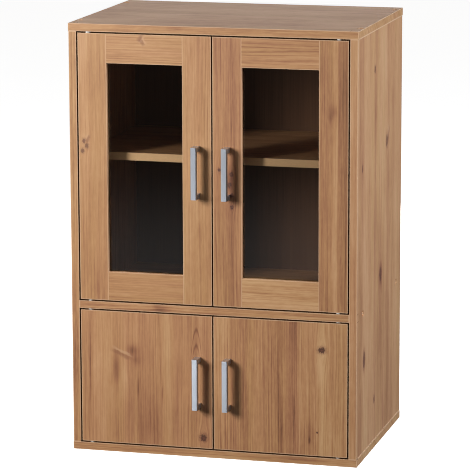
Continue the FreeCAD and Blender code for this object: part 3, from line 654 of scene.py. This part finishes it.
BOARDS = {
    "top_board": Look(
        **LEVEL, face=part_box("top_board")[1].z, seed=11.0, bands=0.35, lines=0.25,
        stains=(
            Stain(-0.040, -0.170, 0.030, 0.080, 0.22),
            Stain(0.090, 0.020, 0.040, 0.130, 0.08),
            Stain(-0.140, 0.120, 0.020, 0.090, -0.10),
            Stain(-0.210, -0.073, 0.006, 0.020, -0.35),
        ),
    ),
    "bottom_board": Look(
        **LEVEL, face=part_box("bottom_board")[0].z, seed=23.0, tone=0.04, bands=0.4,
        stains=(Stain(-0.212, 0.182, 0.020, 0.040, -0.20),),
    ),
    "middle_board": Look(
        **LEVEL, face=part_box("middle_board")[1].z, seed=31.0, bands=0.4,
        stains=(Stain(-0.215, -0.111, 0.020, 0.018, -0.35),),
    ),
    "shelf": Look(
        **LEVEL, face=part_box("shelf")[1].z, seed=37.0, edge=0.0, tone=-0.04, banding=0.85, bands=0.5,
    ),
    "left_side_board": Look(
        **SIDE, face=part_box("left_side_board")[0].x, seed=41.0, tone=0.04, bands=0.5,
    ),
    "right_side_board": Look(
        **SIDE, face=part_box("right_side_board")[1].x, seed=43.0, tone=0.03, rose=0.35, bands=0.45,
        lines=0.25, grit=0.6, knotty=0.7,
        strips=(
            (-0.210, 0.02), (-0.190, -0.06), (-0.160, -0.02), (-0.110, 0.10), (-0.104, 0.0),
            (-0.060, 0.02), (-0.050, -0.14), (-0.038, -0.12), (-0.030, 0.04), (0.016, 0.02),
            (0.040, -0.06), (0.048, 0.02), (0.076, -0.14), (0.096, 0.04), (0.112, 0.0),
            (0.120, -0.10), (0.150, 0.0), (0.210, -0.06),
        ),
        stains=(
            Stain(0.010, 0.250, 0.034, 0.220, -0.24),
            Stain(0.090, 0.180, 0.020, 0.200, -0.14),
            Stain(-0.176, 0.200, 0.020, 0.260, -0.10),
            Stain(0.010, 0.352, 0.014, 0.026, -0.40),
            Stain(-0.142, 0.206, 0.011, 0.026, -0.28),
        ),
        knots=(
            Knot(-0.053, 0.790, 0.005, 1.5),
            Knot(0.066, 0.625, 0.008, 1.6),
            Knot(-0.165, 0.605, 0.004, 1.8),
            Knot(0.010, 0.356, 0.009, 1.5),
            Knot(-0.142, 0.208, 0.009, 1.8),
            Knot(-0.045, 0.103, 0.005, 1.6),
        ),
        spikes=(Spike(0.075, 0.640, 0.024, 0.004, 70),),
    ),
    "upper_left_hinge_stile": Look(
        **UPRIGHT, seed=53.0, knotty=0.6, grit=0.5, tone=0.05, bands=0.25, lines=0.35,
        strips=((-0.280, 0.04), (-0.262, 0.06), (-0.256, -0.04), (-0.220, -0.04)),
        stains=(Stain(-0.245, 0.343, 0.008, 0.020, -0.12),),
        knots=(
            Knot(-0.269, 0.646, 0.0034, 1.3),
            Knot(-0.263, 0.636, 0.0036, 1.3),
            Knot(-0.272, 0.626, 0.0034, 1.3),
        ),
        spikes=(Spike(-0.265, 0.652, 0.012, 0.003, 68),),
    ),
    "upper_left_lock_stile": Look(
        **UPRIGHT, seed=59.0, grit=0.55, tone=0.11, bands=0.25, lines=0.5,
        strips=((-0.0615, 0.04), (-0.054, 0.02), (-0.030, 0.0), (-0.026, -0.10), (-0.0015, -0.10)),
        stains=(Stain(-0.026, 0.464, 0.005, 0.024, -0.20),),
    ),
    "upper_left_top_rail": Look(
        **RAIL, seed=61.0, grit=0.55, tone=0.10, bands=0.3, lines=0.5,
        spikes=(
            Spike(0.856, -0.145, 0.012, 0.003, 40),
            Spike(0.853, -0.140, 0.010, 0.003, -30),
        ),
    ),
    "upper_left_bottom_rail": Look(
        **RAIL, seed=67.0, grit=0.55, tone=0.02, bands=0.3, lines=0.3,
    ),
    "upper_right_hinge_stile": Look(
        **UPRIGHT, seed=71.0, grit=0.6, tone=-0.05, rose=0.1, bands=0.25, lines=0.35,
        strips=(
            (0.220, -0.04), (0.246, -0.04), (0.250, 0.20), (0.257, 0.20), (0.260, -0.14),
            (0.280, -0.16),
        ),
        stains=(
            Stain(0.250, 0.724, 0.010, 0.014, -0.24),
            Stain(0.243, 0.712, 0.006, 0.010, -0.12),
        ),
    ),
    "upper_right_lock_stile": Look(
        **UPRIGHT, seed=73.0, grit=0.55, tone=-0.06, rose=0.2, bands=0.3, lines=0.4,
        strips=(
            (0.0015, 0.0), (0.018, -0.08), (0.022, 0.02), (0.035, 0.02), (0.038, -0.12),
            (0.044, -0.12), (0.050, 0.0), (0.0615, 0.02),
        ),
        stains=(Stain(0.039, 0.575, 0.005, 0.030, -0.30),),
        knots=(
            Knot(0.015, 0.598, 0.0030, 1.0),
            Knot(0.040, 0.590, 0.0040, 1.3),
            Knot(0.036, 0.568, 0.0045, 1.2),
            Knot(0.041, 0.548, 0.0030, 1.3),
            Knot(0.041, 0.523, 0.0030, 1.3),
        ),
    ),
    "upper_right_top_rail": Look(
        **RAIL, seed=79.0, grit=0.6, tone=0.02, bands=0.3, lines=0.48,
    ),
    "upper_right_bottom_rail": Look(
        **RAIL, seed=83.0, tone=0.26, bands=0.3, lines=0.6,
    ),
    "lower_left_panel": Look(
        **UPRIGHT, seed=89.0, grit=0.5, tone=0.02, rose=0.3, bands=0.15, lines=0.4,
        strips=(
            (-0.280, 0.0), (-0.264, 0.06), (-0.260, -0.02), (-0.254, 0.12), (-0.214, 0.10),
            (-0.208, -0.06), (-0.196, 0.04), (-0.184, 0.04), (-0.180, -0.08), (-0.172, -0.06),
            (-0.164, 0.06), (-0.158, -0.12), (-0.112, -0.12), (-0.104, 0.06), (-0.092, 0.08),
            (-0.084, -0.08), (-0.070, -0.10), (-0.064, -0.02), (-0.036, -0.12), (-0.028, 0.08),
            (-0.020, -0.06), (-0.002, 0.0),
        ),
        knots=(Knot(-0.020, 0.041, 0.0068, 1.0),),
        spikes=(Spike(-0.192, 0.213, 0.030, 0.0042, -24),),
        stains=(
            Stain(-0.170, 0.216, 0.011, 0.012, -0.46),
            Stain(-0.164, 0.196, 0.008, 0.010, -0.30),
            Stain(-0.206, 0.176, 0.007, 0.030, -0.30),
            Stain(-0.190, 0.160, 0.010, 0.040, 0.20),
            Stain(-0.150, 0.150, 0.016, 0.040, 0.08),
            Stain(-0.261, 0.170, 0.0014, 0.080, -0.50),
            Stain(-0.159, 0.138, 0.0018, 0.024, -0.42),
            Stain(-0.107, 0.130, 0.0014, 0.018, -0.36),
        ),
        arch=Arch(-0.036, 0.275, 0.011, 0.056),
    ),
    "lower_right_panel": Look(
        **UPRIGHT, seed=97.0, grit=0.7, tone=-0.01, rose=0.2, bands=0.15, lines=0.6,
        strips=(
            (0.002, 0.12), (0.032, 0.08), (0.036, -0.02), (0.056, -0.08), (0.062, -0.20),
            (0.072, -0.16), (0.078, 0.0), (0.102, 0.0), (0.110, -0.14), (0.118, -0.06),
            (0.134, -0.10), (0.142, -0.24), (0.150, -0.06), (0.160, -0.14), (0.166, -0.24),
            (0.176, -0.22), (0.182, 0.02), (0.214, 0.0), (0.222, 0.16), (0.238, 0.14),
            (0.246, 0.02), (0.280, 0.0),
        ),
        knots=(
            Knot(0.227, 0.239, 0.0070, 0.85),
            Knot(0.218, 0.068, 0.0015, 1.2),
        ),
        stains=(
            Stain(0.226, 0.200, 0.008, 0.040, 0.26),
            Stain(0.202, 0.066, 0.007, 0.024, -0.22),
            Stain(0.202, 0.050, 0.0020, 0.007, -0.50),
            Stain(0.170, 0.120, 0.0014, 0.080, -0.36),
        ),
    ),
}
DOORS = ("upper_left", "upper_right", "lower_left", "lower_right")


def dress(node, material):
    """Gives a CAD node its material in place of the imported one."""
    mesh = nodes[node].data
    mesh.materials.clear()
    mesh.materials.append(material)


def soften(node):
    """Welds the import's split corners and rounds the sharp edges a little."""
    piece = nodes[node]
    weld = piece.modifiers.new("weld", "WELD")
    weld.merge_threshold = WELD_REACH
    flat = piece.modifiers.new("flat", "DECIMATE")
    flat.decimate_type = "DISSOLVE"
    flat.angle_limit = FLAT_ANGLE
    edge = piece.modifiers.new("edge", "BEVEL")
    edge.width = EDGE_RADIUS
    edge.segments = EDGE_SEGMENTS
    edge.limit_method = "ANGLE"
    edge.angle_limit = SHARP_ANGLE


def door_box(door):
    """The box that a door's boards fill together."""
    boxes = [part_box(name) for name in BOARDS if name.startswith(door)]
    low = Vector([min(box[0][number] for box in boxes) for number in range(3)])
    high = Vector([max(box[1][number] for box in boxes) for number in range(3)])
    return low, high


def openings():
    """The boxes of the two openings that the doors close, as deep as the doors are thick."""
    left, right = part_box("left_side_board")[1].x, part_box("right_side_board")[0].x
    front, back = (end.y for end in door_box("lower_left"))
    boxes = []
    for below, above in (("bottom_board", "middle_board"), ("middle_board", "top_board")):
        low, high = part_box(below)[1].z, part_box(above)[0].z
        boxes.append((Vector((left, front, low)), Vector((right, back, high))))
    return boxes


def rail_span(node, whole):
    """A rail's box drawn out to the whole door's width, so that its ends have no painted highlight
    lines.
    """
    ends = zip(whole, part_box(node))
    return [Vector((end.x, board.y, board.z)) for end, board in ends]


def dress_boards():
    """Prints each board and rounds its edges."""
    for node, look in BOARDS.items():
        gaps, span = openings(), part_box(node)
        door = next((name for name in DOORS if node.startswith(name)), None)
        if door:
            gaps = [door_box(door)]
            if look.grain == "X":
                span = rail_span(node, gaps[0])
        dress(node, pine(node, look, gaps, span))
        soften(node)


def dress_others():
    """Gives every piece that isn't a board the look of its CAD material."""
    looks = {name: plastic(name, *look) for name, look in PLASTICS.items()}
    looks.update((name, metal(name, *look)) for name, look in METALS.items())
    looks["glass"] = glass("glass")
    looks["beech"] = beech("beech")
    looks["back_panel_board"] = back_board("back_panel_board")
    for node, piece in nodes.items():
        if node not in BOARDS:
            dress(node, looks[piece.material_slots[0].name])


# ---------------------------------------------------------------- stage, light and camera

CAMERA_PLACE = Vector((1.561, -5.838, 1.603))
CAMERA_YAW = math.radians(15.054)
CAMERA_DOWN = math.radians(11.032)
CAMERA_ROLL = math.radians(-0.169)
CAMERA_FAR = 200.0
LENS = 226.3
SENSOR = 36.0
PIXEL_FILTER = 1.0

FLOOR_REACH = 26.0
FLOOR_RISE = 14.0
FLOOR_SIDES = 72
FLOOR_STEPS = 8
FLOOR_GREYS = (0.90, 0.94)
FLOOR_GLOW = 0.90

SCREEN_LEFT = -0.85
SCREEN_RIGHT = 0.20
SCREEN_AHEAD = 1.0
SCREEN_BRIGHT = (0.247, 0.227, 0.218)
SCREEN_DIM = (0.060, 0.045, 0.036)
SCREEN_FADE_FROM = 0.21
SCREEN_FADE_TO = 0.57

WHITE = (1.0, 1.0, 1.0)
WORLD_COLOUR = (1.0, 0.95, 0.90, 1.0)
WORLD_STRENGTH = 0.06

# Each softbox's place, the point that it faces, its width and height, its power and its colour.
KEY_PLACE = (-1.757, -2.448, 1.427)
KEY_TARGET = (0.0, -0.2, 0.5)
SOFTBOXES = {
    "key": (KEY_PLACE, KEY_TARGET, 0.85, 1.2, 90, (1.0, 0.985, 0.96)),
    "side": ((2.4, -0.40, 1.15), (0.3, -0.02, 0.5), 0.35, 1.2, 64, (0.74, 0.85, 1.0)),
    "top": ((0.2, 0.2, 2.7), (0.0, 0.0, 0.8), 1.8, 1.8, 7, (0.97, 0.95, 0.97)),
    "back": ((-0.9, 3.4, 1.75), (0.0, 0.2, 0.9), 3.0, 1.0, 14, (1.0, 0.94, 0.92)),
    "back_low": ((-0.7, 2.6, 0.42), (-0.1, 0.2, 0.42), 1.6, 0.7, 22, (1.0, 0.97, 0.93)),
    "handle_key": (KEY_PLACE, KEY_TARGET, 0.85, 1.2, 36, WHITE),
    "handle_card": ((-0.45, -0.90, 0.08), (0.0, -0.24, 0.2), 0.5, 0.3, 1.5, WHITE),
}


def new_object(name, form, material):
    """Puts a bmesh in the scene as an object with one material."""
    mesh = bpy.data.meshes.new(name)
    form.to_mesh(mesh)
    form.free()
    mesh.materials.append(material)
    item = bpy.data.objects.new(name, mesh)
    bpy.context.scene.collection.objects.link(item)
    return item


def floor_form():
    """A level disc whose rim curves up."""
    form = bmesh.new()
    rings = []
    for step in range(FLOOR_STEPS + 1):
        angle = math.pi / 2 * step / FLOOR_STEPS
        height = FLOOR_RISE * (1 - math.cos(angle))
        radius = FLOOR_REACH + FLOOR_RISE * math.sin(angle)
        turns = [2 * math.pi * side / FLOOR_SIDES for side in range(FLOOR_SIDES)]
        rings.append([
            form.verts.new((radius * math.cos(turn), radius * math.sin(turn), height))
            for turn in turns
        ])
    centre = form.verts.new((0, 0, 0))
    for side in range(FLOOR_SIDES):
        follow = (side + 1) % FLOOR_SIDES
        form.faces.new((centre, rings[0][side], rings[0][follow]))
        for inner, outer in zip(rings, rings[1:]):
            form.faces.new((inner[side], outer[side], outer[follow], inner[follow]))
    return form


def floor_paper():
    """White paper that glows a little."""
    tree = Tree("floor_paper")
    fibre = tree.noise(tree.place, scale=3.0, detail=3)
    return tree.principled(
        Base_Color=tree.grey(tree.smooth(fibre, NOISE_LOW, NOISE_HIGH, *FLOOR_GREYS)),
        Roughness=0.9,
        Emission_Color=WHITE,
        Emission_Strength=FLOOR_GLOW,
    )


def stage_floor():
    """A pale floor that curves up far away on every side."""
    floor = new_object("studio_floor", floor_form(), floor_paper())
    floor.visible_diffuse = False
    floor.visible_glossy = False
    floor.visible_transmission = True


def screen_glow(height):
    """Light that fades from the bottom of the glass, at the given height of its top."""
    tree = Tree("screen_glow")
    rise = tree.smooth(tree.axis["Z"], SCREEN_FADE_FROM * height, SCREEN_FADE_TO * height)
    return tree.principled(
        Base_Color=(0.0, 0.0, 0.0),
        Specular_IOR_Level=0.0,
        Emission_Color=tree.mix(rise, SCREEN_BRIGHT, SCREEN_DIM),
        Emission_Strength=1.0,
    )


def screen_for_glass():
    """A dim screen in front that only reflections see: the lower part of the glass shows it."""
    low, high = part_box("upper_left_glass")
    form = bmesh.new()
    corners = ((SCREEN_LEFT, 0.0), (SCREEN_RIGHT, 0.0), (SCREEN_RIGHT, high.z), (SCREEN_LEFT, high.z))
    for x, z in corners:
        form.verts.new((x, low.y - SCREEN_AHEAD, z))
    form.faces.new(form.verts)
    screen = new_object("screen", form, screen_glow(high.z))
    screen.visible_camera = False
    screen.visible_diffuse = False
    screen.visible_transmission = False
    screen.visible_shadow = False


def softbox(name, place, target, wide, high, watts, colour):
    """A rectangular lamp that the camera doesn't see."""
    data = bpy.data.lights.new(name, "AREA")
    data.shape = "RECTANGLE"
    data.size = wide
    data.size_y = high
    data.energy = watts
    data.color = colour
    lamp = bpy.data.objects.new(name, data)
    lamp.location = place
    lamp.rotation_euler = (Vector(target) - Vector(place)).to_track_quat("-Z", "Y").to_euler()
    lamp.visible_camera = False
    bpy.context.scene.collection.objects.link(lamp)
    return lamp


def share_light(lamps):
    """Keeps the key and the side light off the handles, which have two lamps of their own."""
    handles_only = bpy.data.collections.new("handles_only")
    all_but_handles = bpy.data.collections.new("all_but_handles")
    for name, piece in nodes.items():
        if name.endswith("_handle"):
            handles_only.objects.link(piece)
            all_but_handles.objects.link(piece)
    for entry in all_but_handles.collection_objects:
        entry.light_linking.link_state = "EXCLUDE"
    for name in ("key", "side"):
        lamps[name].light_linking.receiver_collection = all_but_handles
    for name in ("handle_key", "handle_card"):
        lamps[name].light_linking.receiver_collection = handles_only


def light_studio():
    """Hangs the softboxes, and fills the room with a little light."""
    share_light({name: softbox(name, *look) for name, look in SOFTBOXES.items()})
    world = bpy.data.worlds.new("studio")
    bpy.context.scene.world = world
    world.use_nodes = True
    background = world.node_tree.nodes["Background"]
    background.inputs["Color"].default_value = WORLD_COLOUR
    background.inputs["Strength"].default_value = WORLD_STRENGTH


def place_camera():
    """A long lens from the right, looking a little down."""
    data = bpy.data.cameras.new("camera")
    data.lens = LENS
    data.sensor_width = SENSOR
    data.clip_end = CAMERA_FAR
    camera = bpy.data.objects.new("camera", data)
    turn = Matrix.Rotation(CAMERA_YAW, 4, "Z")
    tilt = Matrix.Rotation(math.pi / 2 - CAMERA_DOWN, 4, "X")
    roll = Matrix.Rotation(CAMERA_ROLL, 4, "Z")
    camera.matrix_world = Matrix.Translation(CAMERA_PLACE) @ turn @ tilt @ roll
    bpy.context.scene.collection.objects.link(camera)
    bpy.context.scene.camera = camera


dress_others()
dress_boards()
stage_floor()
screen_for_glass()
light_studio()
place_camera()
bpy.context.scene.view_settings.view_transform = "Standard"
bpy.context.scene.cycles.filter_width = PIXEL_FILTER
